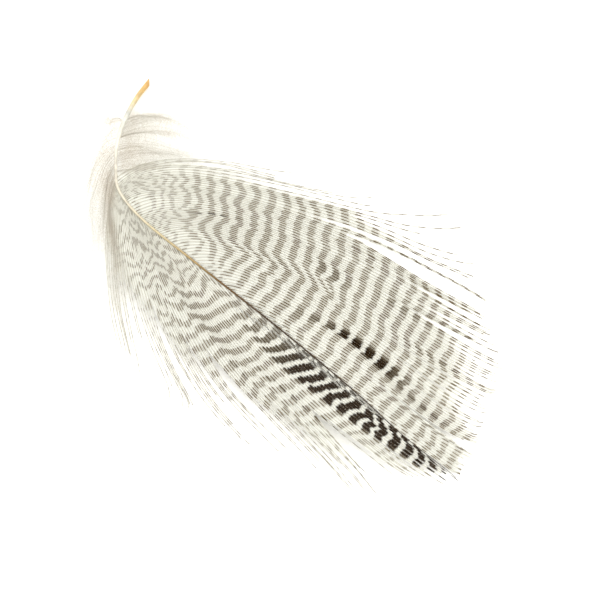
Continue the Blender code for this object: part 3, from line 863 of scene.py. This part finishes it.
fans = [down_fan(*UPPER_FAN), down_fan(*LOWER_FAN)]
down_paths = np.concatenate([fan[0] for fan in fans])
down_height = np.concatenate([fan[1] for fan in fans])
down_aside = across_barbs(down_paths)[0]
down_share = np.broadcast_to(np.linspace(0, 1, DOWN_STEPS + 1), down_height.shape)
down_rods = barb_rods(
    "down_barbs", down_paths, down_aside, down_height,
    DOWN_BARB + (DOWN_BARB_END - DOWN_BARB) * down_share, {"share": down_share},
)
thread_points, thread_share = [], []
down_along = lengths_along(down_paths)
for path, side_way, height, along in zip(down_paths, down_aside, down_height, down_along):
    for side in (1, -1):
        starts = np.arange(FIRST_THREAD, along[-1], THREAD_PITCH)
        starts = starts + down_rng.uniform(-0.5, 0.5, len(starts)) * THREAD_PITCH
        base = np.stack([np.interp(starts, along, path[:, axis]) for axis in (0, 1)], -1)
        out = np.stack([np.interp(starts, along, side_way[:, axis]) for axis in (0, 1)], -1) * side
        forward = np.stack([out[:, 1], -out[:, 0]], -1) * side
        lean = np.radians(down_rng.uniform(*THREAD_LEAN, len(starts)))[:, None]
        reach = down_rng.uniform(*THREAD_REACH, len(starts))[:, None]
        reach = reach * (1 - TIP_THREADS * (starts / along[-1])[:, None])
        tip = base + reach * (np.cos(lean) * forward + np.sin(lean) * out)
        bend = base + THREAD_BEND * reach * (np.cos(lean / 2) * forward + np.sin(lean / 2) * out)
        low = np.interp(starts, along, height)
        rise = down_rng.uniform(-THREAD_RISE, THREAD_RISE, len(starts))
        tip_height = np.maximum(low + rise, THREAD_LOWEST)
        wide = forward * THREAD_WIDTH / 2
        corners = [
            (base - wide, low), (base + wide, low), (bend + wide, low), (tip, tip_height), (bend - wide, low),
        ]
        thread_points.append(np.stack([placed(p[:, 0], p[:, 1], z) for p, z in corners], 1))
        thread_share.append(np.repeat(starts / along[-1], 5))
thread_points = np.concatenate(thread_points)
first = np.arange(len(thread_points))[:, None] * 5
down_threads = piece_of(
    "down_barbules", thread_points, first + np.arange(5)[None, :], {"share": np.concatenate(thread_share)},
)

# Keratin of the down: threads too fine to shine, so it looks matt and soft, and light comes through
# it. It has almost no pigment: cream-white at the ends, warmer and greyer smudges near the shaft.
SMUDGE = 2.5  # millimetres across a darker place
down_keratin, tree = new_material("soft_keratin_of_down")
share = node(tree, "ShaderNodeAttribute", {"attribute_name": "share"}, {})
place = node(tree, "ShaderNodeTexCoord", {}, {})
cloud = node(tree, "ShaderNodeTexNoise", {}, {
    "Vector": place.outputs["Object"], "Scale": 1000 / SMUDGE, "Detail": 1.0,
})
patch = node(tree, "ShaderNodeMapRange", {}, {
    "Value": cloud.outputs["Fac"], "From Min": 0.4, "From Max": 0.65, "To Min": 0.35, "To Max": -0.35,
})
paler = node(tree, "ShaderNodeMath", {"operation": "ADD", "use_clamp": True}, {
    0: share.outputs["Fac"], 1: patch.outputs["Result"],
})
fade = node(tree, "ShaderNodeMix", {"data_type": "RGBA"}, {"Factor": paler.outputs[0]})
fade.inputs["A"].default_value = linear("#cfc7b9")
fade.inputs["B"].default_value = linear("#d9d6cc")
matt = node(tree, "ShaderNodeBsdfPrincipled", {}, {
    "Base Color": fade.outputs["Result"], "Roughness": 0.8, "IOR": 1.54, "Specular IOR Level": 0.2,
})
through = node(tree, "ShaderNodeBsdfTranslucent", {}, {"Color": fade.outputs["Result"]})
both = node(tree, "ShaderNodeMixShader", {}, {0: 0.35, 1: matt.outputs["BSDF"], 2: through.outputs["BSDF"]})
node(tree, "ShaderNodeOutputMaterial", {}, {"Surface": both.outputs["Shader"]})
part_of_feather(down_rods, down_keratin)
part_of_feather(down_threads, down_keratin)

# Floor, light and camera. A sheet of white paper lies under the feather. One large soft light and
# an even white surround are bright enough to burn the paper out to white, and the camera looks
# straight down from above.
FLOOR_SIZE = 3.0  # metres
FLOOR_GAP = 0.05 * MM  # keeps the paper just under what touches it
SURROUND = 1.35  # strength of the white surround
SOFTBOX_PLACE = (-0.25, 0.35, 0.6)  # metres
SOFTBOX_SIZE = 0.5  # metres across
SOFTBOX_POWER = 2.5  # watts
bpy.ops.object.select_all(action="DESELECT")
bpy.ops.mesh.primitive_plane_add(size=FLOOR_SIZE, location=(0, 0, -FLOOR_GAP))
floor = bpy.context.object
floor.name = "floor"
# Uncoated paper: dull, without any shine, and barely warmer than pure white.
paper, tree = new_material("white_paper")
sheet = node(tree, "ShaderNodeBsdfPrincipled", {}, {"Base Color": linear("#fbfaf5"), "Roughness": 0.9})
node(tree, "ShaderNodeOutputMaterial", {}, {"Surface": sheet.outputs["BSDF"]})
floor.data.materials.append(paper)

studio = bpy.data.worlds.new("studio")
studio.use_nodes = True
studio.node_tree.nodes["Background"].inputs["Color"].default_value = (1, 1, 1, 1)
studio.node_tree.nodes["Background"].inputs["Strength"].default_value = SURROUND
bpy.context.scene.world = studio
bpy.ops.object.light_add(type="AREA", location=SOFTBOX_PLACE)
softbox = bpy.context.object
softbox.data.size = SOFTBOX_SIZE
softbox.data.energy = SOFTBOX_POWER
softbox.rotation_euler = (Vector((0, 0, 0)) - softbox.location).to_track_quat("-Z", "Y").to_euler()
bpy.context.scene.view_settings.view_transform = "Standard"

PHOTO_TURN = 40.0  # degrees between the picture's level and the straight part of the shaft
VIEW_MIDDLE = (2.5 * MM, 0.24 * MM)  # what the camera stands straight above
VIEW_WIDTH = 67.8 * MM  # what the picture shows from side to side, halfway up the feather
VIEW_HEIGHT = 0.30  # metres from the paper to the camera
bpy.ops.object.camera_add(location=(*VIEW_MIDDLE, VIEW_HEIGHT))
camera = bpy.context.object
camera.rotation_euler = (0, 0, math.radians(PHOTO_TURN))
camera.data.sensor_width = 36.0
camera.data.lens = camera.data.sensor_width * (VIEW_HEIGHT - BACK_HEIGHT / 2 * MM) / VIEW_WIDTH
camera.data.clip_start = 0.01
bpy.context.scene.camera = camera
